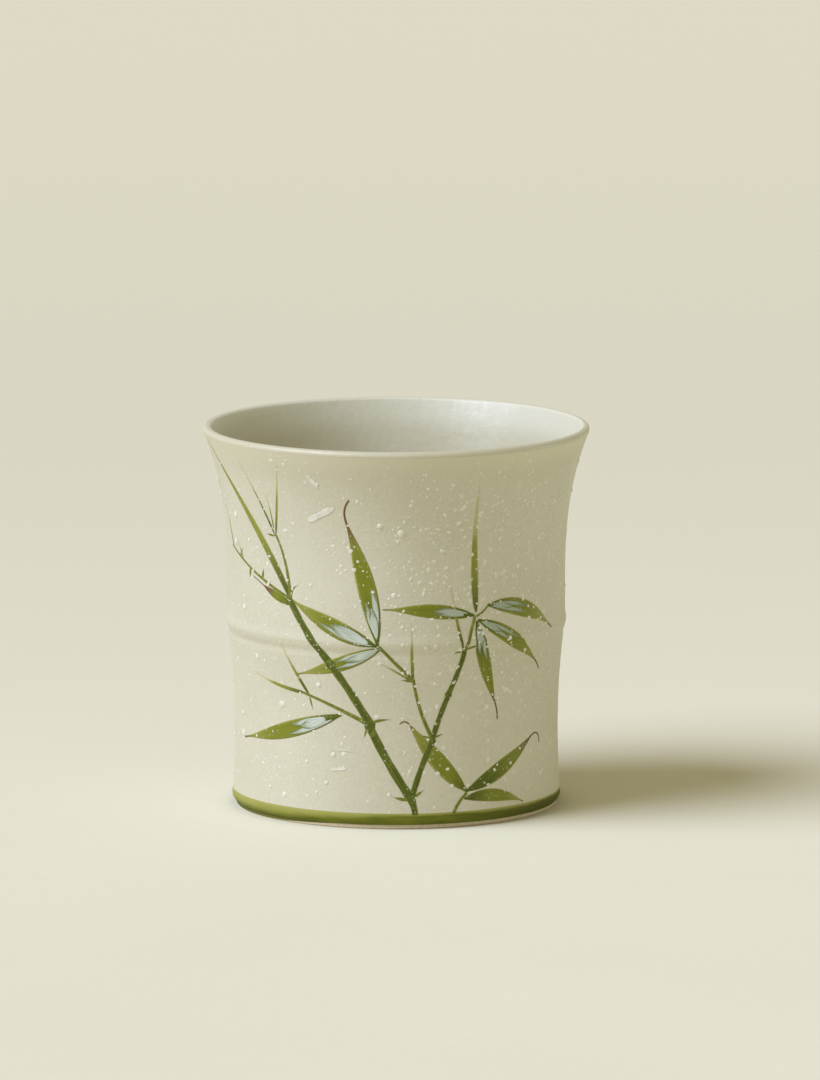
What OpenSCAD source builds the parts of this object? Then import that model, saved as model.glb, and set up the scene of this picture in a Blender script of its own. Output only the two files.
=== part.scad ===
// Handleless porcelain cup shaped like a length of bamboo, with a painted bamboo spray.
// The clay body carries thin glaze coats, and the painting lies on the outer glaze.
// Millimetres, +Z up, origin at the centre of the foot on the table, front of the cup at -Y.

/* [Cup] */
// Height from the table to the crest of the lip
cup_height = 80.3; // [76:0.1:90]
// Width across the widest place of the lip
lip_width = 81.2; // [76:0.1:84]
// Lean of the lip from upright, in degrees
lip_lean = 22; // [20:0.5:28]
// How far the lip stands out beyond the neck, on each side
flare = 5.1; // [3:0.05:7]
// Height of the narrowest place above the joint
neck_height = 47.5; // [45:0.1:50]
// How far the wall at the joint stands out beyond the neck
joint_out = 0.05; // [0:0.05:1]
// Height of the middle of the joint ring
joint_height = 39.2; // [34:0.1:41]
// How far the waist draws in from the neck
waist_in = 1.5; // [0.5:0.05:2.5]
// Height of the waist
waist_height = 16.6; // [14:0.1:22]
// How far the foot stands out beyond the waist
foot_out = 0.55; // [0:0.05:1.5]
// Radius of the rounded lower edge
foot_round = 1.8; // [1.4:0.1:2.6]
// Finished thickness of the wall, glaze included
wall = 2.8; // [2.2:0.1:4]
// Finished thickness of the lip
lip_thickness = 1.9; // [1.5:0.1:2.6]
// Thickness of the floor above the foot recess
floor_thickness = 4.2; // [3:0.1:7]
// Radius of the rounded corner between floor and wall
floor_round = 9; // [5:0.5:14]

/* [Joint ring] */
// Height of the raised ring at the joint
ring_band = 4.6; // [3:0.1:6]
// How far the ring stands out from the wall
ring_rise = 0.2; // [0.1:0.05:0.6]
// Distance of the groove below the middle of the ring
groove_drop = 2.2; // [1.5:0.1:3]
// Height of the groove
groove_band = 2.6; // [1.5:0.1:3.5]
// Depth of the groove
groove_depth = 0.12; // [0.06:0.02:0.3]

/* [Foot] */
// Height of the bare clay below the glaze
bare_height = 0.95; // [0.6:0.05:2]
// Width of the flat ring that the cup stands on
foot_ring = 3.2; // [2:0.1:5]
// Depth of the recess under the cup
recess = 2.4; // [1.2:0.1:3.5]
// Bevel on the lower edges of the foot ring
foot_bevel = 0.3; // [0.1:0.05:0.5]

/* [Glaze] */
// Thickness of the liner glaze
liner = 0.3; // [0.2:0.05:0.5]
// Thickness of the outer glaze, the foot band and the base glaze
glaze = 0.3; // [0.2:0.05:0.5]
// Height of the green foot band above the bare clay
band_height = 2.5; // [2.1:0.05:5]

/* [Painting] */
// Thickness of the painted strokes
paint = 0.12; // [0.08:0.02:0.3]
// Thickness of the snow dabs on the leaves
snow = 0.1; // [0.06:0.02:0.3]
// Bare wall between the painting and the lip
picture_margin = 3; // [2:0.5:6]
// Width of the long cane at its root
long_cane_width = 2; // [1.6:0.1:2.6]
// Width of the short cane at its root
short_cane_width = 1.4; // [1:0.1:2]
// Width of a cane at its top, as a share of its root
cane_taper = 0.85; // [0.5:0.05:0.95]
// Gap in a cane at each joint
cane_gap = 0.5; // [0.3:0.1:1]
// Width of a twig where it leaves its cane
twig_width = 0.8; // [0.5:0.1:1]
// Width of a twig at its end, as a share of its start
twig_taper = 0.4; // [0.3:0.05:0.9]
// Width of the leaves, as a share of their length
leaf_share = 0.18; // [0.14:0.01:0.2]
// Width of the thin shoots, as a share of their length
shoot_share = 0.08; // [0.06:0.01:0.1]
// Width of the long blade at the top of the spray, as a share of its length
blade_share = 0.045; // [0.03:0.005:0.06]
// Length of a snow dab, as a share of its leaf
dab_length_share = 0.4; // [0.2:0.05:0.5]
// Width of a snow dab or dash, as a share of its length
dab_width_share = 0.25; // [0.15:0.05:0.3]

/* [Snow flakes] */
// Number of places tried for a raised flake; those on a stroke stay empty
flake_places = 140; // [20:10:250]
// Radius of the smallest flake
flake_small = 0.4; // [0.3:0.05:0.5]
// Radius of the largest flake
flake_large = 0.85; // [0.6:0.05:1]
// Height of a flake, as a share of its radius
flake_rise = 0.34; // [0.2:0.02:0.5]
// Least room between a flake and its neighbours
flake_room = 0.5; // [0.4:0.1:1]

/* [Hidden] */
$fn = 96;

// Main heights and radii
lip_round = lip_thickness / 2;
lip_centre = [lip_width / 2 - lip_round, cup_height - lip_round];
rim_r = lip_centre[0] + lip_round * cos(lip_lean);
rim_height = lip_centre[1] - lip_round * sin(lip_lean);
neck_r = lip_width / 2 - flare;
joint_r = neck_r + joint_out;
waist_r = neck_r - waist_in;
foot_r = waist_r + foot_out;
groove_height = joint_height - groove_drop;
ring_low = groove_height - groove_band / 2;
ring_top = joint_height + ring_band / 2;
floor_height = recess + floor_thickness;
corner_height = floor_height + floor_round;
band_top = bare_height + band_height;
// The rounded lower edge starts at the glaze line, this far below level
edge_angle = 50;
foot_top = bare_height + foot_round * sin(edge_angle);
// The flare is a power curve that leaves the neck upright and ends at the lean of the lip
flare_power = tan(lip_lean) * (rim_height - neck_height) / (rim_r - neck_r);

// Radius of the wall without the joint ring: upright at the waist and at the neck
function bend(z, from, to, power) = pow((z - from) / (to - from), power);
function plain_radius(z) =
    z < waist_height ? waist_r + (foot_r - waist_r) * bend(z, waist_height, foot_top, 2)
    : z < joint_height ? waist_r + (joint_r - waist_r) * bend(z, waist_height, joint_height, 2)
    : z < neck_height ? neck_r + (joint_r - neck_r) * bend(z, neck_height, joint_height, 2)
    : neck_r + (rim_r - neck_r) * bend(z, neck_height, rim_height, flare_power);
// How far the joint ring stands out at a height, less the groove below it
function swell(z, middle, band) = abs(z - middle) < band / 2 ? pow(cos(180 * (z - middle) / band), 2) : 0;
function ring_bump(z) =
    ring_rise * swell(z, joint_height, ring_band) - groove_depth * swell(z, groove_height, groove_band);
function wall_radius(z) = plain_radius(z) + ring_bump(z);

// Lean of the wall from upright, measured over a short step of height
lean_step = 0.01;
function plain_lean(z) = atan((plain_radius(z + lean_step) - plain_radius(z - lean_step)) / (2 * lean_step));
function wall_lean(z) = atan((wall_radius(z + lean_step) - wall_radius(z - lean_step)) / (2 * lean_step));

// The wall thins out evenly from the joint to the lip
function wall_thickness(z) = let (t = max(0, (z - joint_height) / (rim_height - joint_height)))
    wall + (lip_thickness - wall) * t * t * (3 - 2 * t);

// A station is a point of the finished surface and the way it faces: [radius, height, outward, upward]
function wall_station(z) = [wall_radius(z), z, cos(wall_lean(z)), -sin(wall_lean(z))];
function inner_station(z) = let (lean = plain_lean(z), depth = wall_thickness(z))
    [plain_radius(z) - depth * cos(lean), z + depth * sin(lean), -cos(lean), sin(lean)];
function round_station(centre, radius, angle, side) =
    [centre[0] + radius * cos(angle), centre[1] + radius * sin(angle), side * cos(angle), side * sin(angle)];

// Helpers for lists of points
function steps(from, to, count) = [for (i = [0 : count]) from + (to - from) * i / count];
function without_first(list) = [for (i = [1 : len(list) - 1]) list[i]];
function backwards(list) = [for (i = [len(list) - 1 : -1 : 0]) list[i]];
function joined(a, b) = concat(a, norm(a[len(a) - 1] - b[0]) < lean_step ? without_first(b) : b);

// Surface at a depth under the finished one; a depth below zero lies on top of it
function sunk(stations, depth) = [for (s = stations) [s[0] - depth * s[2], s[1] - depth * s[3]]];
function layer(stations, top, bottom) = concat(sunk(stations, top), backwards(sunk(stations, bottom)));

// The finished surface, from the glaze line up the outside, over the lip and down to the floor
edge_centre = [foot_r - foot_round, foot_top];
edge_stations = [for (a = steps(-edge_angle, 0, 6)) round_station(edge_centre, foot_round, a, 1)];
band_stations = concat(edge_stations, [wall_station(band_top)]);
lower_stations = [for (z = steps(band_top, ring_low, 12)) wall_station(z)];
ring_stations = [for (z = steps(ring_low, ring_top, 22)) wall_station(z)];
// The stations draw together towards the lip, where the wall bends most
upper_stations = [for (t = steps(0, 1, 26)) wall_station(ring_top + (rim_height - ring_top) * pow(t, 0.8))];
outer_stations = concat(lower_stations, without_first(ring_stations), without_first(upper_stations));
lip_stations = [for (a = steps(-lip_lean, 180 - lip_lean, 16)) round_station(lip_centre, lip_round, a, 1)];
inner_stations = [for (z = steps(rim_height, corner_height, 26)) inner_station(z)];
corner_centre = [plain_radius(corner_height) - wall - floor_round, corner_height];
corner_stations = [for (a = steps(0, -90, 10)) round_station(corner_centre, floor_round, a, -1)];
floor_middle = [0, floor_height, 0, 1];
liner_stations = concat(lip_stations, without_first(inner_stations), without_first(corner_stations),
    [floor_middle]);

// The bare foot ring drops straight down from the glaze line
ring_outer = sunk(edge_stations, glaze)[0][0];
ring_inner = ring_outer - foot_ring;

// The picture is laid out on the unrolled wall, from the band's top edge and the front of the cup,
// in hundredths of its height, and scaled to the field that the cup has
picture_height = rim_height - picture_margin - band_top;
picture_scale = picture_height / 100;

// Canes are lists of joints, twigs are [start, bend, end], leaves are [x, height, direction, length, bow]
function placed_leaf(leaf) = let (s = picture_scale)
    [leaf[0] * s, leaf[1] * s, leaf[2], leaf[3] * s, leaf[4] * s];
function placed(leaves) = [for (leaf = leaves) placed_leaf(leaf)];
long_cane_joints = picture_scale * [[3, 0.4], [-7.9, 25.6], [-19.6, 43], [-32.6, 60.4]];
short_cane_joints = picture_scale * [[6.6, 0.4], [10.9, 21], [15.7, 34.2], [20.4, 46.6]];
twig_lines = [for (line = [
    [[-32.4, 64.4], [-33.4, 72], [-37.6, 78.8]],
    [[-37.4, 63.4], [-48.5, 67.2], [-60, 72]],
    [[9.2, 23], [6.6, 29.5], [5.2, 38]],
    [[4.6, 39.6], [0, 43.5], [-4, 47.6]],
    [[-11.5, 26.8], [-18.5, 31], [-28.5, 34]],
    [[21, 48.2], [22.2, 52], [23.2, 55.6]],
    [[25.2, 58.4], [26.2, 59.2], [27.4, 60.5]],
    [[17, 0.7], [19.4, 2.2], [21.8, 4.6]]]) picture_scale * line];
fan = placed([[22, 57.4, 175, 23.5, -0.8], [28.4, 61, -19, 27, 3], [26.4, 56.2, -31, 26, 0.9],
    [24.9, 54.4, -72, 27, -0.7]]);
middle = placed([[-4.7, 49.6, 105, 40, -1.2], [-6.6, 49.2, 148, 24, 0.7], [-6.2, 47.4, 198, 11, -0.4]]);
left = placed([[-35, 59.2, 163, 14, 0.4], [-20, 27.4, 196, 32, 0.9]]);
low = placed([[21.6, 6.6, 124, 14, 0.6], [23.4, 6.6, 29, 32, -0.8], [23.4, 4.4, -4, 19, -0.4]]);
thin = placed([[23.8, 60, 91, 33, 0.7], [-26.6, 35.2, 122, 17, 0.4], [-29.8, 34.6, 168, 19, 0.5],
    [-38.9, 80, 120, 18, -0.4], [-37.2, 80.2, 76, 17, 0.4], [-60.8, 73, 112, 9, 0.3],
    [19.2, 48.8, 103, 6, 0.2], [6.2, 40.2, 91, 14, 0.3], [3.2, 37.6, 152, 10, -0.3]]);
blade = placed([[-33.8, 63.2, 132, 50, -2.4]]);
dashes = placed([[-25, 85, 27, 8.6, 0], [38, 33, 152, 5, 0], [-20, 12, 8, 5, 0]]);
broad = concat(fan, middle, left, low);

// Outline of a leaf: blunt at the stalk, pointed at the tip, bowed to one side
leaf_skew = 0.7;
side_points = 9;
function turned(x, y, angle) = [x * cos(angle) - y * sin(angle), x * sin(angle) + y * cos(angle)];
function leaf_half(along) = sin(180 * pow(along, leaf_skew)) / 2;
function leaf_middle(leaf, along) =
    [leaf[0], leaf[1]] + turned(leaf[3] * along, leaf[4] * 4 * along * (1 - along), leaf[2]);
function leaf_edge(leaf, along, half) =
    leaf_middle(leaf, along) + turned(0, half * leaf_half(along), leaf[2]);
function leaf_outline(leaf, share) = concat(
    [for (t = steps(0, 1, side_points)) leaf_edge(leaf, t, share * leaf[3])],
    [for (t = without_first(steps(1, 0, side_points))) leaf_edge(leaf, t, -share * leaf[3])]);

// A snow dab is a small leaf that lies along the lower half of its leaf
dab_start = 0.1;
function dab(leaf) =
    let (from = leaf_middle(leaf, dab_start), to = leaf_middle(leaf, dab_start + dab_length_share))
    [from[0], from[1], atan2(to[1] - from[1], to[0] - from[0]), norm(to - from), 0];

// One length of a cane between two joints, narrowing towards the top
function unit(v) = v / norm(v);
function across(v) = [-v[1], v[0]];
function cane_half(share, root_width) = root_width * (1 - (1 - cane_taper) * share) / 2;
function cane_length(joints, i, root_width) =
    let (along = unit(joints[i + 1] - joints[i]), count = len(joints) - 1)
    let (from = joints[i] + along * cane_gap / 2, to = joints[i + 1] - along * cane_gap / 2)
    let (from_side = across(along) * cane_half(i / count, root_width))
    let (to_side = across(along) * cane_half((i + 1) / count, root_width))
    [from + from_side, to + to_side, to - to_side, from - from_side];

// A twig follows a curve with one bend and thins out
function curve_point(line, t) = line[0] * pow(1 - t, 2) + line[1] * 2 * t * (1 - t) + line[2] * pow(t, 2);
function curve_way(line, t) = unit((line[1] - line[0]) * (1 - t) + (line[2] - line[1]) * t);
function twig_edge(line, t, side) =
    curve_point(line, t) + across(curve_way(line, t)) * side * twig_width * (1 - (1 - twig_taper) * t) / 2;
function twig_outline(line) = concat(
    [for (t = steps(0, 1, side_points)) twig_edge(line, t, 1)],
    [for (t = steps(1, 0, side_points)) twig_edge(line, t, -1)]);

// Distance along the unrolled wall to degrees round the cup
function turn(x) = x / neck_r * 180 / PI;

// A stroke is the part of a thin layer on the wall that lies behind its outline
module stroke(outline, top, bottom) {
    xs = [for (p = outline) p[0]];
    zs = [for (p = outline) p[1]];
    middle_x = (min(xs) + max(xs)) / 2;
    middle_r = wall_radius(band_top + (min(zs) + max(zs)) / 2);
    intersection() {
        rotate_extrude() polygon(layer(outer_stations, top, bottom));
        rotate([90, 0, turn(middle_x)]) linear_extrude(lip_width) polygon(
            [for (p = outline) [middle_r * sin(turn(p[0] - middle_x)), band_top + p[1]]]);
    }
}

module leaves(list, share) {
    for (leaf = list) stroke(leaf_outline(leaf, share), -paint, 0);
}

module cane(joints, root_width) {
    for (i = [0 : len(joints) - 2]) stroke(cane_length(joints, i, root_width), -paint, 0);
}

module clay_body() {
    foot = [[0, recess], [ring_inner, recess], [ring_inner, foot_bevel], [ring_inner + foot_bevel, 0],
        [ring_outer - foot_bevel, 0], [ring_outer, foot_bevel]];
    outside = concat(sunk(edge_stations, glaze), sunk(outer_stations, glaze));
    color("#cfc3a0") rotate_extrude() polygon(concat(foot, joined(outside, sunk(liner_stations, liner))));
}

module liner_glaze() {
    color("#e6e5dc") rotate_extrude() polygon(layer(liner_stations, 0, liner));
}

module outer_glaze() {
    color("#dfdcc6") rotate_extrude() polygon(layer(outer_stations, 0, glaze));
}

module foot_band() {
    color("#6e732b") rotate_extrude() polygon(layer(band_stations, 0, glaze));
}

module base_glaze() {
    color("#e0ddcb") translate([0, 0, recess - glaze]) cylinder(r = ring_inner, h = glaze);
}

module long_cane() {
    color("#57692a") cane(long_cane_joints, long_cane_width);
}

module short_cane() {
    color("#5c6e2c") cane(short_cane_joints, short_cane_width);
}

module twigs() {
    color("#7d8238") for (line = twig_lines) stroke(twig_outline(line), -paint, 0);
}

module fan_leaves() {
    color("#5f651f") leaves(fan, leaf_share);
}

module middle_leaves() {
    color("#5f651f") leaves(middle, leaf_share);
}

module left_leaves() {
    color("#686e26") leaves(left, leaf_share);
}

module low_leaves() {
    color("#5f651f") leaves(low, leaf_share);
}

module shoots() {
    color("#8f9347") {
        leaves(thin, shoot_share);
        leaves(blade, blade_share);
    }
}

module leaf_snow() {
    color("#dfe6e0") for (leaf = broad)
        stroke(leaf_outline(dab(leaf), dab_width_share), -paint - snow, -paint);
}

module snow_dashes() {
    color("#eceade") for (dash = dashes) stroke(leaf_outline(dash, dab_width_share), -snow, 0);
}

// Scattered numbers from 0 to 1, always the same for the same place in the list
function scattered(i, kind) = let (v = sin(i * 78.233 + kind * 37.719 + 12.9898) * 43758.5453) v - floor(v);
// A flake is [x, height, radius] on the unrolled wall, clear of the band and of the picture's upper edge
edge_room = 1.5;
flakes = [for (i = [1 : flake_places]) [
    (scattered(i, 1) - 0.5) * 2 * PI * neck_r,
    edge_room + scattered(i, 2) * (picture_height - 2 * edge_room),
    flake_small + (flake_large - flake_small) * pow(scattered(i, 3), 3)]];

// A flake stays only where it is clear of every stroke, of the joint ring and of the flakes before it
function line_distance(p, from, to) = let (way = to - from)
    norm(p - from - way * min(1, max(0, (p - from) * way / (way * way))));
function path_distance(p, path) = min([for (i = [0 : len(path) - 2]) line_distance(p, path[i], path[i + 1])]);
function leaf_distance(p, leaf, share) =
    path_distance(p, [for (t = steps(0, 1, 4)) leaf_middle(leaf, t)]) - share * leaf[3] / 2;
function twig_distance(p, line) =
    path_distance(p, [for (t = steps(0, 1, 4)) curve_point(line, t)]) - twig_width / 2;
function stroke_distance(p) = min(concat(
    [for (leaf = broad) leaf_distance(p, leaf, leaf_share)],
    [for (leaf = thin) leaf_distance(p, leaf, shoot_share)],
    [for (leaf = blade) leaf_distance(p, leaf, blade_share)],
    [for (dash = dashes) leaf_distance(p, dash, dab_width_share)],
    [for (line = twig_lines) twig_distance(p, line)],
    [path_distance(p, long_cane_joints) - long_cane_width / 2],
    [path_distance(p, short_cane_joints) - short_cane_width / 2]));
function ring_distance(p) = let (z = band_top + p[1]) max(ring_low - z, z - ring_top);
function flake_distance(i, p) = min(concat([lip_width],
    [for (j = [0 : 1 : i - 1]) norm(p - [flakes[j][0], flakes[j][1]]) - flakes[j][2]]));
function has_room(i) = let (p = [flakes[i][0], flakes[i][1]])
    min(stroke_distance(p), ring_distance(p), flake_distance(i, p)) > flakes[i][2] + flake_room;

// A flake is a low dome that stands just clear of the glaze, on the straight runs between its stations
flake_seat = 0.02;
outer_runs = [for (s = outer_stations) [s[1], s[0]]];
module flake(radius) {
    rise = radius * flake_rise;
    ball = (radius * radius + rise * rise) / (2 * rise);
    rotate_extrude($fn = 36) intersection() {
        translate([0, rise - ball]) circle(r = ball, $fn = 180);
        square([radius * 2, rise * 2]);
    }
}

module snow_flakes() {
    color("#eceade") for (i = [0 : len(flakes) - 1]) if (has_room(i)) {
        z = band_top + flakes[i][1];
        rotate([0, 0, turn(flakes[i][0])]) translate([0, -lookup(z, outer_runs) - flake_seat, z])
            rotate([90 + wall_lean(z), 0, 0]) flake(flakes[i][2]);
    }
}

clay_body();
liner_glaze();
outer_glaze();
foot_band();
base_glaze();
long_cane();
short_cane();
twigs();
fan_leaves();
middle_leaves();
left_leaves();
low_leaves();
shoots();
leaf_snow();
snow_dashes();
snow_flakes();
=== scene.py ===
"""Porcelain cup in the form of bamboo: coats turned on the wheel, a brushed bamboo spray, raised snow."""
import math
import random
from collections import namedtuple

import bmesh
import bpy
from mathutils import Matrix, Vector


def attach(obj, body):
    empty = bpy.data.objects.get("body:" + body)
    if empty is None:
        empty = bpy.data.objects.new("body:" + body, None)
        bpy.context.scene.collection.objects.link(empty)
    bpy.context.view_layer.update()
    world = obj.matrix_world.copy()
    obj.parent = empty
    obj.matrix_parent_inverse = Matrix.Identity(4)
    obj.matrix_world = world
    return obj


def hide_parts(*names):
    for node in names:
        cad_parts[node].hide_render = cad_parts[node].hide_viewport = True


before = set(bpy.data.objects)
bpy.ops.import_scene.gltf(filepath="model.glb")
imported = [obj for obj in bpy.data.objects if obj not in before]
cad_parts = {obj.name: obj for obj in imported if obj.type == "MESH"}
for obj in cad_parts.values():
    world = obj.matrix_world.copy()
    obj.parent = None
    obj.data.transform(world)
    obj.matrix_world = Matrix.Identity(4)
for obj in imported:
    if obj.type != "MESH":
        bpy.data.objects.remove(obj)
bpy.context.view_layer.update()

# Sizes of the cup in millimetres, the same as in the part's source, with the lip a hair narrower
# so that it stays inside the box of the source's mesh
MM = 0.001
CUP_HEIGHT = 80.3
LIP_WIDTH = 81.17
LIP_LEAN = math.radians(22)
FLARE = 5.085
NECK_HEIGHT = 47.5
JOINT_OUT = 0.05
JOINT_HEIGHT = 39.2
WAIST_IN = 1.5
WAIST_HEIGHT = 16.6
FOOT_OUT = 0.55
FOOT_ROUND = 1.8
WALL = 2.8
LIP_THICKNESS = 1.9
FLOOR_THICKNESS = 4.2
FLOOR_ROUND = 9.0
RING_BAND = 4.6
RING_RISE = 0.2
GROOVE_DROP = 2.2
GROOVE_BAND = 2.6
GROOVE_DEPTH = 0.12
BARE_HEIGHT = 0.95
FOOT_RING = 3.2
RECESS = 2.4
FOOT_BEVEL = 0.3
COAT = 0.3
BAND_HEIGHT = 2.5
PICTURE_MARGIN = 3.0

# Fineness of the turned pieces, and how close points count as one
COAT_TURNS = 256
CLAY_TURNS = 192
SAME_POINT = 0.001 * MM

# Sizes that follow from these
LIP_ROUND = LIP_THICKNESS / 2
LIP_R = LIP_WIDTH / 2 - LIP_ROUND
LIP_HEIGHT = CUP_HEIGHT - LIP_ROUND
RIM_R = LIP_R + LIP_ROUND * math.cos(LIP_LEAN)
RIM_HEIGHT = LIP_HEIGHT - LIP_ROUND * math.sin(LIP_LEAN)
NECK_R = LIP_WIDTH / 2 - FLARE
JOINT_R = NECK_R + JOINT_OUT
WAIST_R = NECK_R - WAIST_IN
FOOT_R = WAIST_R + FOOT_OUT
FLOOR_HEIGHT = RECESS + FLOOR_THICKNESS
BAND_TOP = BARE_HEIGHT + BAND_HEIGHT
EDGE_ANGLE = math.radians(50)
FOOT_TOP = BARE_HEIGHT + FOOT_ROUND * math.sin(EDGE_ANGLE)
FLARE_POWER = math.tan(LIP_LEAN) * (RIM_HEIGHT - NECK_HEIGHT) / (RIM_R - NECK_R)
PICTURE_UNIT = (RIM_HEIGHT - PICTURE_MARGIN - BAND_TOP) / 100


# Shape of the wall

def plain_radius(z):
    """Radius of the wall without the joint ring."""
    if z < WAIST_HEIGHT:
        return WAIST_R + FOOT_OUT * ((z - WAIST_HEIGHT) / (FOOT_TOP - WAIST_HEIGHT)) ** 2
    if z < JOINT_HEIGHT:
        return WAIST_R + (JOINT_R - WAIST_R) * ((z - WAIST_HEIGHT) / (JOINT_HEIGHT - WAIST_HEIGHT)) ** 2
    if z < NECK_HEIGHT:
        return NECK_R + JOINT_OUT * ((z - NECK_HEIGHT) / (JOINT_HEIGHT - NECK_HEIGHT)) ** 2
    return NECK_R + (RIM_R - NECK_R) * ((z - NECK_HEIGHT) / (RIM_HEIGHT - NECK_HEIGHT)) ** FLARE_POWER


def swell(z, middle, band):
    away = abs(z - middle) / (band / 2)
    return math.cos(away * math.pi / 2) ** 2 if away < 1 else 0.0


def ring_bump(z):
    """How far the joint ring stands out, less the groove below it."""
    return (RING_RISE * swell(z, JOINT_HEIGHT, RING_BAND)
            - GROOVE_DEPTH * swell(z, JOINT_HEIGHT - GROOVE_DROP, GROOVE_BAND))


def wall_radius(z):
    return plain_radius(z) + ring_bump(z)


def lean(radius_at, z):
    """Angle of a wall off the upright."""
    step = 0.01
    return math.atan((radius_at(z + step) - radius_at(z - step)) / (2 * step))


def steps(start, end, count):
    return [start + (end - start) * i / count for i in range(count + 1)]


def outside_station(z):
    """A point of the finished wall and the way it faces: radius, height, outward, upward."""
    tilt = lean(wall_radius, z)
    return wall_radius(z), z, math.cos(tilt), -math.sin(tilt)


def wall_thickness(z):
    """The wall thins out evenly from the joint to the lip."""
    t = max(0.0, (z - JOINT_HEIGHT) / (RIM_HEIGHT - JOINT_HEIGHT))
    return WALL + (LIP_THICKNESS - WALL) * t * t * (3 - 2 * t)


def inside_station(z):
    tilt, depth = lean(plain_radius, z), wall_thickness(z)
    radius, height = plain_radius(z) - depth * math.cos(tilt), z + depth * math.sin(tilt)
    return radius, height, -math.cos(tilt), math.sin(tilt)


def round_station(centre, radius, angle, side):
    out, up = math.cos(angle), math.sin(angle)
    return centre[0] + radius * out, centre[1] + radius * up, side * out, side * up


def sunk(stations, depth):
    """Outline of radius and height, a depth behind the stations."""
    return [(r - depth * out, z - depth * up) for r, z, out, up in stations]


# Stations along the outside, over the lip and down the inside, closer where the outline bends more

EDGE = [round_station((FOOT_R - FOOT_ROUND, FOOT_TOP), FOOT_ROUND, a, 1) for a in steps(-EDGE_ANGLE, 0, 10)]
RING_LOW = JOINT_HEIGHT - GROOVE_DROP - GROOVE_BAND / 2
RING_TOP = JOINT_HEIGHT + RING_BAND / 2
OUTSIDE_HEIGHTS = (steps(BAND_TOP, RING_LOW, 34)[:-1] + steps(RING_LOW, RING_TOP, 28)[:-1]
                   + steps(RING_TOP, RIM_HEIGHT, 52))
OUTSIDE = [outside_station(z) for z in OUTSIDE_HEIGHTS]
LIP = [round_station((LIP_R, LIP_HEIGHT), LIP_ROUND, a, 1)
       for a in steps(-LIP_LEAN, math.pi - LIP_LEAN, 20)]
CORNER_HEIGHT = FLOOR_HEIGHT + FLOOR_ROUND
CORNER_R = plain_radius(CORNER_HEIGHT) - WALL - FLOOR_ROUND
INSIDE = [inside_station(z) for z in steps(RIM_HEIGHT, CORNER_HEIGHT, 44)]
CORNER = [round_station((CORNER_R, CORNER_HEIGHT), FLOOR_ROUND, a, -1) for a in steps(0, -math.pi / 2, 14)]
FLOOR = [(r, FLOOR_HEIGHT, 0, 1) for r in (CORNER_R * 0.6, CORNER_R * 0.25, 0)]
LINING = LIP + INSIDE[1:] + CORNER[1:] + FLOOR


# Modelling helpers

def deselect():
    bpy.ops.object.select_all(action="DESELECT")


def make_active(piece):
    deselect()
    piece.select_set(True)
    bpy.context.view_layer.objects.active = piece


def select_points(piece, wanted):
    """Selects the points of a piece in edit mode that a test wants."""
    mesh = bmesh.from_edit_mesh(piece.data)
    for point in mesh.verts:
        point.select = wanted(point.co)
    mesh.select_flush_mode()
    bmesh.update_edit_mesh(piece.data)


def spin_on_wheel(name, outline, closed, turns=COAT_TURNS):
    """Draws an outline of radius and height point by point and turns it about the axis."""
    deselect()
    bpy.ops.mesh.primitive_plane_add(size=MM)
    piece = bpy.context.object
    piece.name = name
    bpy.ops.object.mode_set(mode="EDIT")
    bpy.ops.mesh.select_all(action="SELECT")
    bpy.ops.mesh.merge(type="CENTER")
    bpy.ops.transform.translate(value=(outline[0][0] * MM, 0, outline[0][1] * MM))
    for a, b in zip(outline, outline[1:]):
        bpy.ops.mesh.extrude_region_move(
            TRANSFORM_OT_translate={"value": ((b[0] - a[0]) * MM, 0, (b[1] - a[1]) * MM)})
    if closed:
        ends = [Vector((r * MM, 0, z * MM)) for r, z in (outline[0], outline[-1])]
        select_points(piece, lambda place: min((place - end).length for end in ends) < SAME_POINT)
        bpy.ops.mesh.edge_face_add()
    bpy.ops.mesh.select_all(action="SELECT")
    bpy.ops.mesh.spin(steps=turns, angle=2 * math.pi, center=(0, 0, 0), axis=(0, 0, 1))
    bpy.ops.mesh.select_all(action="SELECT")
    bpy.ops.mesh.remove_doubles(threshold=SAME_POINT)
    bpy.ops.mesh.normals_make_consistent(inside=False)
    bpy.ops.object.mode_set(mode="OBJECT")
    bpy.ops.object.shade_smooth_by_angle(angle=math.radians(40))
    return piece


def finish_piece(piece, material, slot, *nodes):
    """Gives a piece its finish and sets it in the frame in place of its CAD nodes."""
    piece.data.materials.clear()
    piece.data.materials.append(material)
    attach(piece, "root")
    if nodes:
        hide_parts(*nodes)


def refinish(node, material):
    """Gives a CAD node that stays in sight a better finish."""
    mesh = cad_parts[node].data
    mesh.materials.clear()
    mesh.materials.append(material)


def apply_modifier(piece, kind, **settings):
    make_active(piece)
    modifier = piece.modifiers.new(kind.title(), kind)
    for name, value in settings.items():
        setattr(modifier, name, value)
    bpy.ops.object.modifier_apply(modifier=modifier.name)


# Node helpers

def add(tree, kind, settings=None, **values):
    made = tree.nodes.new("ShaderNode" + kind)
    for name, value in (settings or {}).items():
        setattr(made, name, value)
    for name, value in values.items():
        made.inputs[name.replace("_", " ")].default_value = value
    return made


def feed(tree, socket, value):
    """Links a socket, or sets a plain value on it."""
    if isinstance(value, bpy.types.NodeSocket):
        tree.links.new(value, socket)
    else:
        socket.default_value = value


def calc(tree, operation, a, b=0.0):
    made = add(tree, "Math", {"operation": operation})
    feed(tree, made.inputs[0], a)
    feed(tree, made.inputs[1], b)
    return made.outputs[0]


def share_of(tree, value, share):
    return calc(tree, "MULTIPLY", value, share)


def add_share(tree, a, b, share):
    """One value plus a share of another."""
    return calc(tree, "ADD", a, share_of(tree, b, share))


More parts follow.
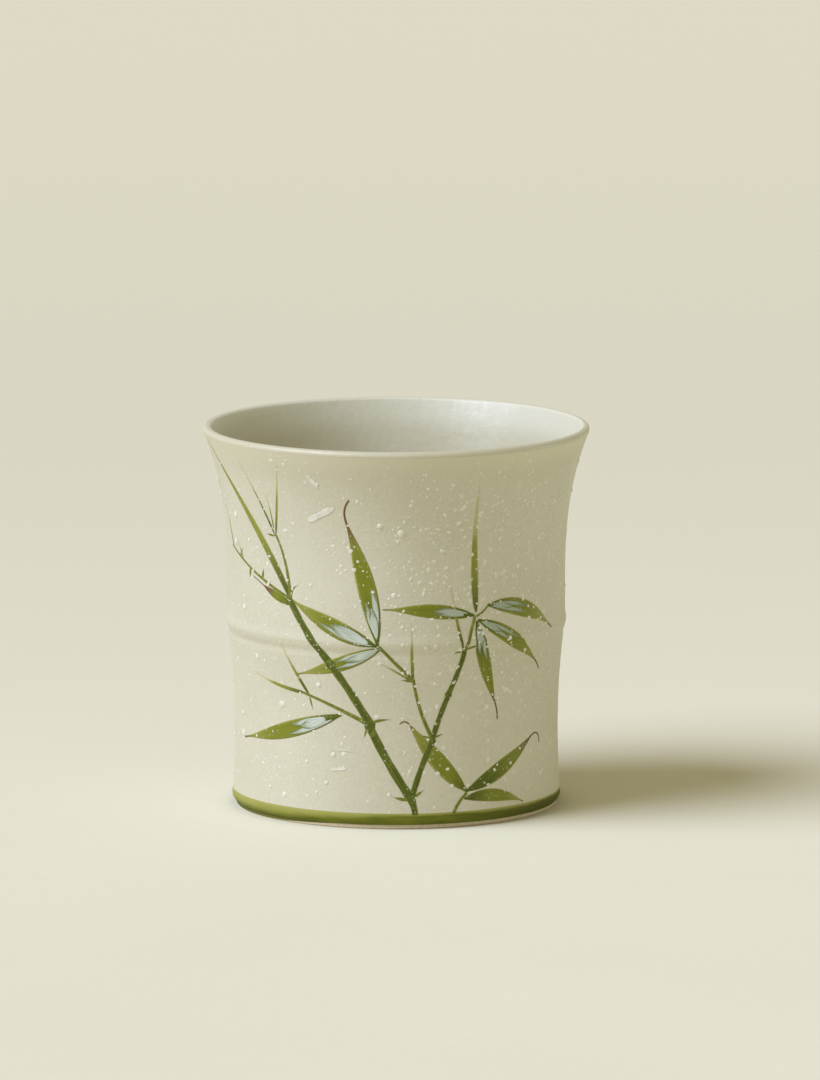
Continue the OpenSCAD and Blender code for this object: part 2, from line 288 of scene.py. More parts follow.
def blend(tree, factor, a, b):
    made = add(tree, "Mix", {"data_type": "RGBA", "blend_type": "MIX"})
    feed(tree, made.inputs[0], factor)
    feed(tree, made.inputs[6], a)
    feed(tree, made.inputs[7], b)
    return made.outputs[2]


def spread(tree, value, low, high, to_low=0.0, to_high=1.0):
    """Maps a value from one range to another, held at the ends and eased."""
    made = add(tree, "MapRange", {"interpolation_type": "SMOOTHSTEP"})
    feed(tree, made.inputs["Value"], value)
    for name, number in (("From Min", low), ("From Max", high), ("To Min", to_low), ("To Max", to_high)):
        feed(tree, made.inputs[name], number)
    return made.outputs["Result"]


def noise(tree, place, scale, detail=3.0, stretch=None):
    if stretch:
        mapping = add(tree, "Mapping", Scale=stretch)
        tree.links.new(place, mapping.inputs["Vector"])
        place = mapping.outputs["Vector"]
    made = add(tree, "TexNoise", Scale=scale, Detail=detail, Roughness=0.55)
    tree.links.new(place, made.inputs["Vector"])
    return made.outputs["Fac"]


def new_finish(name, **values):
    """A material with its shader's plain values set; returns the material, its tree and its shader."""
    material = bpy.data.materials.new(name)
    material.use_nodes = True
    tree = material.node_tree
    shader = tree.nodes["Principled BSDF"]
    for socket, value in values.items():
        shader.inputs[socket.replace("_", " ")].default_value = value
    return material, tree, shader


def raise_bump(tree, shader, height, distance, strength=1.0):
    bump = add(tree, "Bump", Strength=strength, Distance=distance)
    tree.links.new(height, bump.inputs["Height"])
    tree.links.new(bump.outputs["Normal"], shader.inputs["Normal"])


def object_place(tree):
    return add(tree, "TexCoord").outputs["Object"]


def place_parts(tree, place):
    """The X, Y and Z of a place, each on its own."""
    parts = add(tree, "SeparateXYZ")
    tree.links.new(place, parts.inputs[0])
    return parts.outputs


# Shared effects

def scatter_dots(tree, place, scale, rare, size, soft=0.1):
    """Mask of round dots of all sizes up to a largest one, with soft edges."""
    cells = add(tree, "TexVoronoi", {"feature": "F1"}, Scale=scale, Randomness=1.0)
    tree.links.new(place, cells.inputs["Vector"])
    luck = add(tree, "SeparateColor")
    tree.links.new(cells.outputs["Color"], luck.inputs["Color"])
    dot_size = spread(tree, luck.outputs["Red"], rare, 1.0, 0.0, size)
    return spread(tree, calc(tree, "SUBTRACT", dot_size, cells.outputs["Distance"]), 0.0, soft)


def make_grain_group():
    """Fired grain of a glaze: tone and height, plus masks of pin-head snow dots and of finer specks."""
    group = bpy.data.node_groups.new("Glaze grain", "ShaderNodeTree")
    group.interface.new_socket("Place", in_out="INPUT", socket_type="NodeSocketVector")
    for name in ("Tone", "Dots", "Specks", "Height"):
        group.interface.new_socket(name, in_out="OUTPUT", socket_type="NodeSocketFloat")
    start = group.nodes.new("NodeGroupInput")
    end = group.nodes.new("NodeGroupOutput")
    place = start.outputs["Place"]
    cloud = noise(group, place, 38, 3)
    grain = noise(group, place, 1900, 2)
    tone = add_share(group, share_of(group, cloud, 0.45), grain, 0.55)
    dots = scatter_dots(group, place, scale=700, rare=0.35, size=0.24)
    specks = scatter_dots(group, place, scale=1700, rare=0.5, size=0.32)
    height = add_share(group, dots, grain, 0.3)
    for name, value in (("Tone", tone), ("Dots", dots), ("Specks", specks), ("Height", height)):
        group.links.new(value, end.inputs[name])
    return group


GRAIN = make_grain_group()


def glaze_grain(tree, place):
    """The grain at a place, with its outputs by name."""
    made = tree.nodes.new("ShaderNodeGroup")
    made.node_tree = GRAIN
    tree.links.new(place, made.inputs["Place"])
    return made.outputs


def caught_snow(tree, grain, dots, specks):
    """Mask of the pin-head snow on a stroke, from the strength of its dots and of its specks."""
    return calc(tree, "MAXIMUM", share_of(tree, grain["Dots"], dots), share_of(tree, grain["Specks"], specks))


# Finishes of the cup

WALL_COLOUR = (0.635, 0.61, 0.475, 1)
WALL_DEEP = (0.572, 0.547, 0.407, 1)
UNDER_LIP_SHADE = (0.585, 0.545, 0.37, 1)
LIP_PALE = (0.64, 0.61, 0.45, 1)
SNOW_WHITE = (0.80, 0.795, 0.71, 1)
LINER_DEEP = (0.535, 0.51, 0.37, 1)
LINER_COLOUR = (0.585, 0.565, 0.425, 1)
LINER_LIT = (0.70, 0.70, 0.585, 1)
LIP_INNER = (0.52, 0.495, 0.37, 1)
LIP_OUTER = (0.57, 0.54, 0.395, 1)
BAND_DEEP = (0.115, 0.13, 0.009, 1)
BAND_COLOUR = (0.165, 0.185, 0.016, 1)
BAND_SPECKLE = (0.27, 0.285, 0.05, 1)
BAND_SHADE = (0.06, 0.07, 0.006, 1)
BAND_YELLOW = (0.38, 0.375, 0.10, 1)
BAND_BROWN = (0.16, 0.11, 0.04, 1)
CLAY_DEEP = (0.56, 0.48, 0.32, 1)
CLAY_LIGHT = (0.69, 0.61, 0.44, 1)
CLAY_GREEN = (0.12, 0.125, 0.012, 1)


def make_outer_finish():
    """Pale and grainy, with painted warm shade that darkens and yellows it under the flaring lip, and
    pin-head snow all over.
    """
    material, tree, shader = new_finish("pale matte glaze", Roughness=0.62, Specular_IOR_Level=0.35)
    place = object_place(tree)
    grain = glaze_grain(tree, place)
    height = place_parts(tree, place)["Z"]
    colour = blend(tree, spread(tree, grain["Tone"], 0.35, 0.65), WALL_DEEP, WALL_COLOUR)
    # Painted shade: the wall is made darker and yellower below the lip, where the flaring wall faces down
    under_lip_shade = spread(tree, height, (RIM_HEIGHT - 9) * MM, (RIM_HEIGHT - 2) * MM, 0.0, 0.33)
    colour = blend(tree, under_lip_shade, colour, UNDER_LIP_SHADE)
    at_lip = spread(tree, height, (RIM_HEIGHT - 5) * MM, RIM_HEIGHT * MM)
    colour = blend(tree, at_lip, colour, LIP_PALE)
    colour = blend(tree, share_of(tree, grain["Dots"], 0.6), colour, SNOW_WHITE)
    colour = blend(tree, share_of(tree, grain["Specks"], 0.3), colour, SNOW_WHITE)
    tree.links.new(colour, shader.inputs["Base Color"])
    tree.links.new(spread(tree, grain["Tone"], 0.3, 0.7, 0.7, 0.55), shader.inputs["Roughness"])
    raise_bump(tree, shader, grain["Height"], 0.05 * MM, 0.8)
    return material


def make_liner_finish():
    """White satin with a fine peel, with painted light paling it near the lip, and creamy on its crest."""
    material, tree, shader = new_finish("white satin liner", Roughness=0.4, Specular_IOR_Level=0.5)
    place = object_place(tree)
    peel = noise(tree, place, 520, 2)
    cloud = noise(tree, place, 45, 2)
    colour = blend(tree, spread(tree, cloud, 0.3, 0.7), LINER_DEEP, LINER_COLOUR)
    height = place_parts(tree, place)["Z"]
    # Painted light: the inside is lightened towards the lip, so the deeper inside is left darker as painted
    # shade
    lit_near_lip = spread(tree, height, (RIM_HEIGHT - 7) * MM, (RIM_HEIGHT - 1) * MM, 0.0, 0.7)
    colour = blend(tree, lit_near_lip, colour, LINER_LIT)
    flat = add(tree, "VectorMath", {"operation": "MULTIPLY"})
    flat.inputs[1].default_value = (1, 1, 0)
    tree.links.new(place, flat.inputs[0])
    from_axis = add(tree, "VectorMath", {"operation": "LENGTH"})
    tree.links.new(flat.outputs["Vector"], from_axis.inputs[0])
    radius = from_axis.outputs["Value"]
    colour = blend(tree, spread(tree, radius, (LIP_R - 0.5) * MM, LIP_R * MM), colour, LIP_INNER)
    colour = blend(tree, spread(tree, radius, LIP_R * MM, (LIP_R + 0.85) * MM), colour, LIP_OUTER)
    tree.links.new(colour, shader.inputs["Base Color"])
    tree.links.new(spread(tree, peel, 0.3, 0.7, 0.34, 0.48), shader.inputs["Roughness"])
    raise_bump(tree, shader, peel, 0.2 * MM, 0.45)
    return material


def make_band_finish():
    """Brushed green with a yellow upper edge that is broad on the left, painted shade darkening its right
    side, and brown below.
    """
    material, tree, shader = new_finish("green foot glaze", Roughness=0.6, Specular_IOR_Level=0.15)
    place = object_place(tree)
    parts = place_parts(tree, place)
    brush = noise(tree, place, 1.0, 3, stretch=(140, 140, 900))
    speckle = noise(tree, place, 2600, 2)
    colour = blend(tree, spread(tree, brush, 0.3, 0.7), BAND_DEEP, BAND_COLOUR)
    colour = blend(tree, spread(tree, speckle, 0.55, 0.75, 0, 0.25), colour, BAND_SPECKLE)
    # Painted shade: the band's colour is darkened towards its right side, away from the light
    shade_on_right = spread(tree, parts["X"], 0.1 * FOOT_R * MM, FOOT_R * MM, 0.0, 0.65)
    colour = blend(tree, shade_on_right, colour, BAND_SHADE)
    ragged = add_share(tree, parts["Z"], brush, 0.5 * MM)
    fade = spread(tree, parts["X"], -FOOT_R * MM, 0.15 * FOOT_R * MM, 2.7 * MM, 0.75 * MM)
    from_top = calc(tree, "DIVIDE", calc(tree, "SUBTRACT", (BAND_TOP + 0.2) * MM, ragged), fade)
    colour = blend(tree, spread(tree, from_top, 1.0, 0.0, 0.0, 0.9), colour, BAND_YELLOW)
    lower = spread(tree, ragged, (BARE_HEIGHT + 0.5) * MM, (BARE_HEIGHT + 0.15) * MM)
    colour = blend(tree, share_of(tree, lower, 0.5), colour, BAND_BROWN)
    tree.links.new(colour, shader.inputs["Base Color"])
    raise_bump(tree, shader, speckle, 0.03 * MM, 0.6)
    return material


def make_clay_finish():
    """Gritty bare clay, with green glaze run down over its left side."""
    material, tree, shader = new_finish("bare fired clay", Roughness=0.9)
    place = object_place(tree)
    parts = place_parts(tree, place)
    grit = noise(tree, place, 2200, 4)
    colour = blend(tree, spread(tree, grit, 0.3, 0.7), CLAY_DEEP, CLAY_LIGHT)
    run_end = spread(tree, parts["X"], -0.85 * FOOT_R * MM, -0.2 * FOOT_R * MM,
                     0.1 * MM, BARE_HEIGHT * MM)
    run = spread(tree, calc(tree, "SUBTRACT", parts["Z"], run_end), 0.0, 0.12 * MM)
    colour = blend(tree, run, colour, CLAY_GREEN)
    tree.links.new(colour, shader.inputs["Base Color"])
    raise_bump(tree, shader, grit, 0.06 * MM, 0.8)
    return material


outer_finish = make_outer_finish()
liner_finish = make_liner_finish()
band_finish = make_band_finish()
clay_finish = make_clay_finish()


# Coats and clay

def make_brush_form():
    """The wall and the band as one skin, to lay the strokes on; it is taken away afterwards."""
    return spin_on_wheel("brush_form", sunk(EDGE[4:] + OUTSIDE, 0), False)


def make_coats():
    outer_back = sunk(OUTSIDE[::-5] + [OUTSIDE[0]], COAT)
    outer = spin_on_wheel("outer_coat", sunk(OUTSIDE, 0) + outer_back, True)
    finish_piece(outer, outer_finish, "outer", "outer_glaze")
    under = LIP + INSIDE[1::4] + CORNER[1:] + FLOOR
    liner = spin_on_wheel("liner_coat", sunk(LINING[::-1], 0) + sunk(under, COAT), False)
    finish_piece(liner, liner_finish, "liner", "liner_glaze")
    band = EDGE + [outside_station(BAND_TOP)]
    foot = spin_on_wheel("foot_band_coat", sunk(band, 0) + sunk(band[::-1], COAT), True)
    finish_piece(foot, band_finish, "band", "foot_band")
    ring_outer = sunk(EDGE, COAT)[0][0]
    ring_inner = ring_outer - FOOT_RING
    foot_outline = [(0, RECESS), (ring_inner, RECESS), (ring_inner, FOOT_BEVEL),
                    (ring_inner + FOOT_BEVEL, 0), (ring_outer - FOOT_BEVEL, 0), (ring_outer, FOOT_BEVEL)]
    clay_outline = foot_outline + sunk(EDGE + OUTSIDE[::4] + [OUTSIDE[-1]], COAT) + sunk(under[1:], COAT)
    clay = spin_on_wheel("clay_core", clay_outline, False, CLAY_TURNS)
    finish_piece(clay, clay_finish, "clay", "clay_body")


make_coats()
brush_form = make_brush_form()
refinish("base_glaze", liner_finish)


# Finishes of the painting

LEAF_DEEP = (0.085, 0.108, 0.008, 1)
LEAF_MID = (0.19, 0.212, 0.016, 1)
LEAF_LIGHT = (0.36, 0.35, 0.085, 1)
LEAF_TIP = (0.17, 0.095, 0.036, 1)
SHOOT_DEEP = (0.085, 0.105, 0.011, 1)
SHOOT_MID = (0.25, 0.265, 0.04, 1)
SHOOT_LIGHT = (0.43, 0.42, 0.14, 1)
SHOOT_TIP = (0.50, 0.475, 0.22, 1)
CANE_DEEP = (0.065, 0.085, 0.010, 1)
CANE_MID = (0.125, 0.15, 0.017, 1)
CANE_LIGHT = (0.25, 0.27, 0.05, 1)
TWIG_DEEP = (0.12, 0.14, 0.016, 1)
TWIG_MID = (0.21, 0.23, 0.033, 1)
TWIG_LIGHT = (0.35, 0.355, 0.09, 1)
OUTLINE_DARK = (0.04, 0.055, 0.02, 1)
DAB_GREY = (0.42, 0.47, 0.38, 1)
DAB_WHITE = (0.62, 0.68, 0.60, 1)
DAB_THIN = (0.20, 0.245, 0.14, 1)
DAB_DRY = (0.13, 0.155, 0.02, 1)
DASH_DEEP = (0.655, 0.64, 0.52, 1)
DASH_LIGHT = (0.735, 0.725, 0.615, 1)
FLAKE_DEEP = (0.675, 0.66, 0.535, 1)
FLAKE_LIGHT = (0.755, 0.74, 0.625, 1)

Stroke = namedtuple("Stroke", "along off_middle streaks tone tail")


def stroke_place(tree):
    """Place on a brush stroke: along it, off its middle line, streaks of the brush, its tone and its tail."""
    parts = place_parts(tree, add(tree, "TexCoord").outputs["UV"])
    along, across = parts["X"], parts["Y"]
    tone = add(tree, "Attribute", {"attribute_name": "tone"}).outputs["Fac"]
    tail = add(tree, "Attribute", {"attribute_name": "tail"}).outputs["Fac"]
    off_middle = share_of(tree, calc(tree, "ABSOLUTE", calc(tree, "SUBTRACT", across, 0.5)), 2.0)
    shifted = add(tree, "CombineXYZ")
    feed(tree, shifted.inputs[0], add_share(tree, share_of(tree, along, 1.6), tone, 23.0))
    feed(tree, shifted.inputs[1], share_of(tree, across, 7.0))
    feed(tree, shifted.inputs[2], tone)
    streaks = noise(tree, shifted.outputs[0], 1.3, 4)
    return Stroke(along, off_middle, streaks, tone, tail)


def make_leaf_finish(name, deep, middle, light, tip):
    """Green that pales from the stalk to the tip, with the tail in a colour of its own."""
    material, tree, shader = new_finish(name, Roughness=0.55, Specular_IOR_Level=0.2)
    stroke = stroke_place(tree)
    grain = glaze_grain(tree, object_place(tree))
    wander = calc(tree, "SUBTRACT", calc(tree, "ADD", stroke.streaks, stroke.tone), 1.0)
    ragged = add_share(tree, stroke.along, wander, 0.25)
    colour = blend(tree, spread(tree, ragged, 0.05, 0.42), deep, middle)
    has_tail = spread(tree, stroke.tail, 0.0, 0.015)
    paling = calc(tree, "MULTIPLY", spread(tree, ragged, 0.5, 1.0, 0.0, 0.75), has_tail)
    colour = blend(tree, paling, colour, light)
    colour = blend(tree, spread(tree, stroke.streaks, 0.52, 0.75, 0.0, 0.3), colour, light)
    colour = blend(tree, spread(tree, stroke.streaks, 0.46, 0.28, 0.0, 0.4), colour, deep)
    rim = add_share(tree, stroke.off_middle, stroke.streaks, 0.25)
    colour = blend(tree, spread(tree, rim, 0.86, 1.14, 0.0, 0.7), colour, light)
    near_stalk = spread(tree, ragged, 0.4, 0.2)
    line = calc(tree, "MULTIPLY", spread(tree, stroke.off_middle, 0.84, 0.97), near_stalk)
    colour = blend(tree, share_of(tree, line, 0.25), colour, OUTLINE_DARK)
    past_belly = add_share(tree, calc(tree, "SUBTRACT", stroke.along, 1.0), stroke.tail, 1.2)
    colour = blend(tree, spread(tree, past_belly, -0.11, 0.1), colour, tip)
    colour = blend(tree, caught_snow(tree, grain, 0.5, 0.4), colour, SNOW_WHITE)
    tree.links.new(colour, shader.inputs["Base Color"])
    tree.links.new(spread(tree, stroke.streaks, 0.3, 0.7, 0.48, 0.62), shader.inputs["Roughness"])
    raise_bump(tree, shader, grain["Height"], 0.04 * MM, 0.5)
    return material


def make_cane_finish(name, deep, middle, light):
    """Mottled green with paler sides."""
    material, tree, shader = new_finish(name, Roughness=0.55, Specular_IOR_Level=0.2)
    stroke = stroke_place(tree)
    place = object_place(tree)
    grain = glaze_grain(tree, place)
    mottle = noise(tree, place, 900, 3)
    colour = blend(tree, spread(tree, stroke.streaks, 0.35, 0.68), deep, middle)
    colour = blend(tree, spread(tree, mottle, 0.5, 0.72, 0.0, 0.55), colour, light)
    colour = blend(tree, spread(tree, stroke.off_middle, 0.7, 1.0, 0.0, 0.6), colour, light)
    colour = blend(tree, caught_snow(tree, grain, 0.6, 0.6), colour, SNOW_WHITE)
    tree.links.new(colour, shader.inputs["Base Color"])
    tree.links.new(spread(tree, mottle, 0.3, 0.7, 0.45, 0.62), shader.inputs["Roughness"])
    raise_bump(tree, shader, grain["Height"], 0.04 * MM, 0.6)
    return material


def make_snow_finish(name, deep, light):
    """Cloudy matte white."""
    material, tree, shader = new_finish(name, Roughness=0.6, Specular_IOR_Level=0.3)
    place = object_place(tree)
    cloud = noise(tree, place, 700, 2)
    colour = blend(tree, spread(tree, cloud, 0.35, 0.65), deep, light)
    tree.links.new(colour, shader.inputs["Base Color"])
    raise_bump(tree, shader, noise(tree, place, 2400, 2), 0.03 * MM, 0.5)
    return material


def make_dab_finish():
    """Bluish white that runs dry towards the end of the stroke, so the green shows through.

    The tail of a dab says how thin the white is.
    """
    material, tree, shader = new_finish("bluish leaf snow", Roughness=0.5)
    stroke = stroke_place(tree)
    white = blend(tree, spread(tree, stroke.streaks, 0.3, 0.6), DAB_GREY, DAB_WHITE)
    white = blend(tree, stroke.tail, white, DAB_THIN)
    dry = add_share(tree, stroke.along, stroke.off_middle, 0.25)
    dry = add_share(tree, dry, calc(tree, "SUBTRACT", stroke.streaks, 0.5), 1.6)
    colour = blend(tree, spread(tree, dry, 0.72, 1.1, 0.0, 0.95), white, DAB_DRY)
    broken = spread(tree, stroke.streaks, 0.6, 0.45)
    line = calc(tree, "MULTIPLY", spread(tree, stroke.off_middle, 0.84, 1.0), broken)
    colour = blend(tree, share_of(tree, line, 0.45), colour, OUTLINE_DARK)
    tree.links.new(colour, shader.inputs["Base Color"])
    raise_bump(tree, shader, stroke.streaks, 0.06 * MM, 0.6)
    return material


leaf_finish = make_leaf_finish("brushed leaf green", LEAF_DEEP, LEAF_MID, LEAF_LIGHT, LEAF_TIP)
shoot_finish = make_leaf_finish("young shoot green", SHOOT_DEEP, SHOOT_MID, SHOOT_LIGHT, SHOOT_TIP)
cane_finish = make_cane_finish("cane green", CANE_DEEP, CANE_MID, CANE_LIGHT)
twig_finish = make_cane_finish("twig green", TWIG_DEEP, TWIG_MID, TWIG_LIGHT)
dash_finish = make_snow_finish("raised snow glaze", DASH_DEEP, DASH_LIGHT)
flake_finish = make_snow_finish("sunk snow glaze", FLAKE_DEEP, FLAKE_LIGHT)
dab_finish = make_dab_finish()


# Painting on the wall, laid out from the band's top edge and the front of the cup, in hundredths of the
# picture's height; the widths of canes and twigs are in millimetres.
# Canes are joints, and how far each length bends. Twigs are start, bend, end, width and taper.
# Leaves are x, height, direction, length, width as a share of the length, bow, curl of the tail and
# share of the tail. Spurs, shoots, the blade and dashes leave out the last of these, which are added
# where they are painted. Leaf snow is its reach along each leaf, how thin it is and its breadth.

STEM = [(5.6, -0.4), (5.4, 2), (4.2, 4.8)]
LONG_CANE = [(4.2, 4.2), (-7.9, 25.6), (-19.6, 43), (-32.6, 60.4)]
LONG_BENDS = (0.5, -0.4, 0.5)
SHORT_CANE = [(4.7, 4.2), (10.9, 21), (15.7, 34.2), (20.4, 46.6)]
SHORT_BENDS = (0.4, 0.2, -0.3)
TWIGS = [
    ((-32.6, 60.6), (-33.4, 72), (-37.6, 79.4), 0.85, 0.45), ((-33, 61), (-47.5, 67), (-62, 73), 0.7, 0.5),
    ((10.9, 21.4), (6.6, 29.5), (5.2, 38.6), 0.85, 0.35), ((5.2, 38.4), (0, 43.5), (-5, 48.8), 0.8, 0.2),
    ((-7.9, 25.4), (-18.5, 31), (-29, 34), 0.95, 0.5), ((20.4, 46.4), (22.2, 52), (23.4, 56.6), 0.8, 0.2),
    ((23.6, 56.6), (26.4, 57.6), (28, 59.8), 0.5, 0.3), ((17.4, -0.4), (18.6, 2.6), (21.7, 5.3), 0.75, 0.25)]
FAN = [(23.2, 57, 175, 27, 0.155, -0.1, 0, 0.03), (27.8, 59.6, -20, 30, 0.17, 0.32, 0, 0.07),
       (24.6, 55.6, -33, 31, 0.15, 0.15, -0.6, 0.14), (24, 55.4, -72, 31, 0.135, -0.1, -0.6, 0.2)]
MIDDLE = [(-5.2, 49, 105.5, 44, 0.124, -0.12, -1.4, 0.22), (-5.6, 48.8, 155, 30, 0.175, 0.1, 0, 0.02),
          (-4.2, 48.4, 199, 28, 0.155, 0.12, 0, 0.03)]
LEFT = [(-32, 59.2, 157, 18, 0.14, 0.08, 0.2, 0.44), (-17.8, 28.4, 195.5, 41, 0.12, 0.1, 0.2, 0.07)]
LOW = [(21.3, 5.7, 129, 30, 0.165, 0.12, 3, 0.13), (22.4, 5.7, 30, 35, 0.135, -0.13, -3, 0.26),
       (21.3, 3.6, -9, 22, 0.17, 0.3, 0, 0.02)]
BLADE = (-33, 61.4, 131, 55, 0.044, -0.19)
SHOOTS = [
    (23.8, 57.8, 91, 37, 0.06, 0.04), (-27.2, 33.4, 123, 18, 0.055, 0.06), (-28.4, 33.8, 169, 22, 0.05, 0.1),
    (-37.6, 78.8, 119, 24, 0.03, -0.05), (-37.5, 79, 78, 22, 0.035, 0.06), (-38, 81, 98, 10, 0.045, 0),
    (-61, 72.4, 109, 13, 0.045, 0.06), (-54, 69.6, 122, 7, 0.07, 0), (20, 46.8, 102, 20, 0.045, 0.05),
    (5, 38.4, 92, 17, 0.055, 0.04), (5, 38, 150, 13, 0.045, -0.1)]
SPURS = [
    (-7.6, 26.2, 10, 6, 0.13, 0.2, 0.5), (-8.8, 24.8, 255, 3, 0.2, 0, 0), (-19.2, 43.2, 30, 3, 0.16, 0, 0),
    (-32, 61, 58, 5.5, 0.1, 0.9, 2.4), (10.6, 21.6, 162, 3.4, 0.15, 0, 0), (11.4, 21.8, 20, 3, 0.18, 0, 0),
    (20.6, 47, 14, 5, 0.13, 0.2, 0.4), (19.8, 46.8, 190, 3, 0.16, 0, 0), (5, 38.4, 172, 3.6, 0.16, 0, 0),
    (3.4, 3.8, 168, 4.4, 0.22, 0, 0), (5.4, 4.6, 38, 3.6, 0.22, 0, 0), (-27, 33, -75, 4, 0.13, 0, 0),
    (-37.8, 78.8, 176, 3.4, 0.18, 0, 0), (-44, 65.6, 80, 3, 0.3, 0, 0), (-50, 68, 260, 3, 0.3, 0, 0),
    (-56, 70.6, 60, 3, 0.25, 0, 0)]
DASHES = [
    (-25.6, 84.4, 27, 9.6, 0.18), (-24.4, 98, -48, 4.6, 0.28), (38, 33, 152, 5, 0.24), (-20, 12, 8, 5, 0.18),
    (-18.8, 18, -2, 6, 0.07), (-41.8, 63.8, 58, 2.4, 0.36), (-48.8, 66.8, 72, 2.2, 0.36)]
LEAF_SNOW = [(0.40, 0.4, 0.75), (0.38, 0.65, 0.75), (0.34, 0.55, 0.7), (0.34, 0.4, 0.75), (0.26, 0.1, 0.95),
             (0.46, 0.2, 0.9), (0.40, 0.15, 0.9), (0.32, 0.1, 0.95)]
LONG_CANE_WIDTH = 1.95
SHORT_CANE_WIDTH = 1.35
CANE_TAPER = 0.15
SHOOT_TAIL = 0.3
SPUR_TAIL = 0.1

# How high the strokes stand on the wall, in millimetres, so that one lies over another; the pulls of
# leaf snow step up a little each
LEAF_LIFT = 0.035
SHOOT_LIFT = 0.04
TWIG_LIFT = 0.045
SPUR_LIFT = 0.05
CANE_LIFT = 0.055
STEM_LIFT = 0.06
DAB_LIFT = 0.06
DAB_STEP = 0.008
KNOT_LIFT = 0.065
DASH_LIFT = 0.07
UNDERSIDE_LIFT = 0.005

# Columns of a stroke, and how far in front of the cup a strip is held before it is laid on
LEAF_STEPS = 24
LINE_STEPS = 14
HELD_OUT = 60
chance = random.Random(7)


def brush_strip(columns):
    """A flat strip from a grid, with each column set to its place on the middle line, heading and width."""
    deselect()
    count = len(columns) - 1
    bpy.ops.mesh.primitive_grid_add(x_subdivisions=count, y_subdivisions=4, size=1)
    strip = bpy.context.object
    bpy.ops.object.mode_set(mode="EDIT")
    aside = 100  # columns already set wait out of the way of the others
    for i, (x, y, heading, width) in enumerate(columns):
        column = i / count - 0.5
        select_points(strip, lambda place: abs(place.x - column) < 0.3 / count)
        bpy.ops.transform.resize(value=(1, width, 1), center_override=(column, 0, 0))
        bpy.ops.transform.rotate(value=-heading, orient_axis="Z", center_override=(column, 0, 0))
        bpy.ops.transform.translate(value=(aside + x - column, y, 0))
    bpy.ops.mesh.select_all(action="SELECT")
    bpy.ops.transform.translate(value=(-aside, 0, 0))
    bpy.ops.object.mode_set(mode="OBJECT")
    return strip


def lay_on_wall(strip, start, direction, length, lift, tail=0.0):
    """Lays a flat strip onto the wall, from a place of the picture and in a direction."""
    middle = Vector(start) * PICTURE_UNIT + Vector((math.cos(direction), math.sin(direction))) * length / 2
    strip.data.transform(Matrix.Scale(MM, 4) @ Matrix.Translation((-length / 2, 0, 0)))
    turn = Matrix.Rotation(middle.x / NECK_R, 4, "Z")
    held = Matrix.Translation((0, -HELD_OUT * MM, (BAND_TOP + middle.y) * MM))
    upright = held @ Matrix.Rotation(math.pi / 2, 4, "X")
    strip.matrix_world = turn @ upright @ Matrix.Rotation(direction, 4, "Z")
    apply_modifier(strip, "SUBSURF", levels=1, render_levels=1)
    apply_modifier(strip, "SHRINKWRAP", wrap_method="PROJECT", target=brush_form, use_project_z=True,
                   use_negative_direction=True, use_positive_direction=False, offset=lift * MM,
                   wrap_mode="ABOVE_SURFACE")
    apply_modifier(strip, "SOLIDIFY", thickness=(lift - UNDERSIDE_LIFT) * MM, offset=-1)
    make_active(strip)
    bpy.ops.object.transform_apply(location=True, rotation=True, scale=True)
    bpy.ops.object.mode_set(mode="EDIT")
    bpy.ops.mesh.select_all(action="SELECT")
    bpy.ops.mesh.normals_make_consistent(inside=False)
    bpy.ops.object.mode_set(mode="OBJECT")
    bpy.ops.object.shade_smooth()
    for name, value in (("tone", chance.random()), ("tail", tail)):
        attribute = strip.data.attributes.new(name, "FLOAT", "POINT")
        attribute.data.foreach_set("value", [value] * len(strip.data.vertices))
    return strip


def join_strokes(name, strokes, material, slot, *nodes):
    deselect()
    for stroke in strokes:
        stroke.select_set(True)
    bpy.context.view_layer.objects.active = strokes[0]
    bpy.ops.object.join()
    strokes[0].name = name
    finish_piece(strokes[0], material, slot, *nodes)


def leaf_line(length, bow, curl, tail):
    """Middle line of a leaf from stalk to tip: places and headings, with a tail that curls aside."""
    line, x, y = [], 0.0, 0.0
    for i in range(LEAF_STEPS + 1):
        t = i / LEAF_STEPS
        heading = bow * (1 - 2 * t) + curl * max(0, 1 - (1 - t) / (0.6 * tail + 0.06)) ** 1.3
        line.append((x, y, heading))
        x += length / LEAF_STEPS * math.cos(heading)
        y += length / LEAF_STEPS * math.sin(heading)
    return line


# Width of each kind of stroke, as a share of its full width, at a share t of its length

def leaf_width(t, tail):
    """A thin stalk, a full belly that draws out to the tip and a hair tail."""
    belly = min(1, max(0, (t - 0.02) / (0.98 - 0.6 * tail)))
    return max(abs(math.sin(math.pi * belly ** 0.78)) ** (0.75 + 0.55 * belly), 0.16 - 0.06 * t)


def shoot_width(t, tail):
    """Widest near the foot, then a long taper."""
    return max(math.sin(math.pi * math.sqrt(t)), 0.15 - 0.09 * t)


def blade_width(t, tail):
    """Broad from the foot on, with a hair end."""
    return max(math.sin(math.pi * (0.12 + 0.88 * t) ** 0.75), 0.14)


def dash_width(t, tail):
    """Blunt at both ends, with a wavy side."""
    return max(0.2, min(1, 7 * t, 5 * (1 - t))) ** 0.5 * (1 + 0.1 * math.sin(11 * t))


def paint_leaf(leaf, lift, width_at=leaf_width):
    x, height, direction, length, share, bow, curl, tail = leaf
    length *= PICTURE_UNIT
    columns = [place + (share * length * width_at(i / LEAF_STEPS, tail),)
               for i, place in enumerate(leaf_line(length, bow, curl, tail))]
    return lay_on_wall(brush_strip(columns), (x, height), math.radians(direction), length, lift, tail)


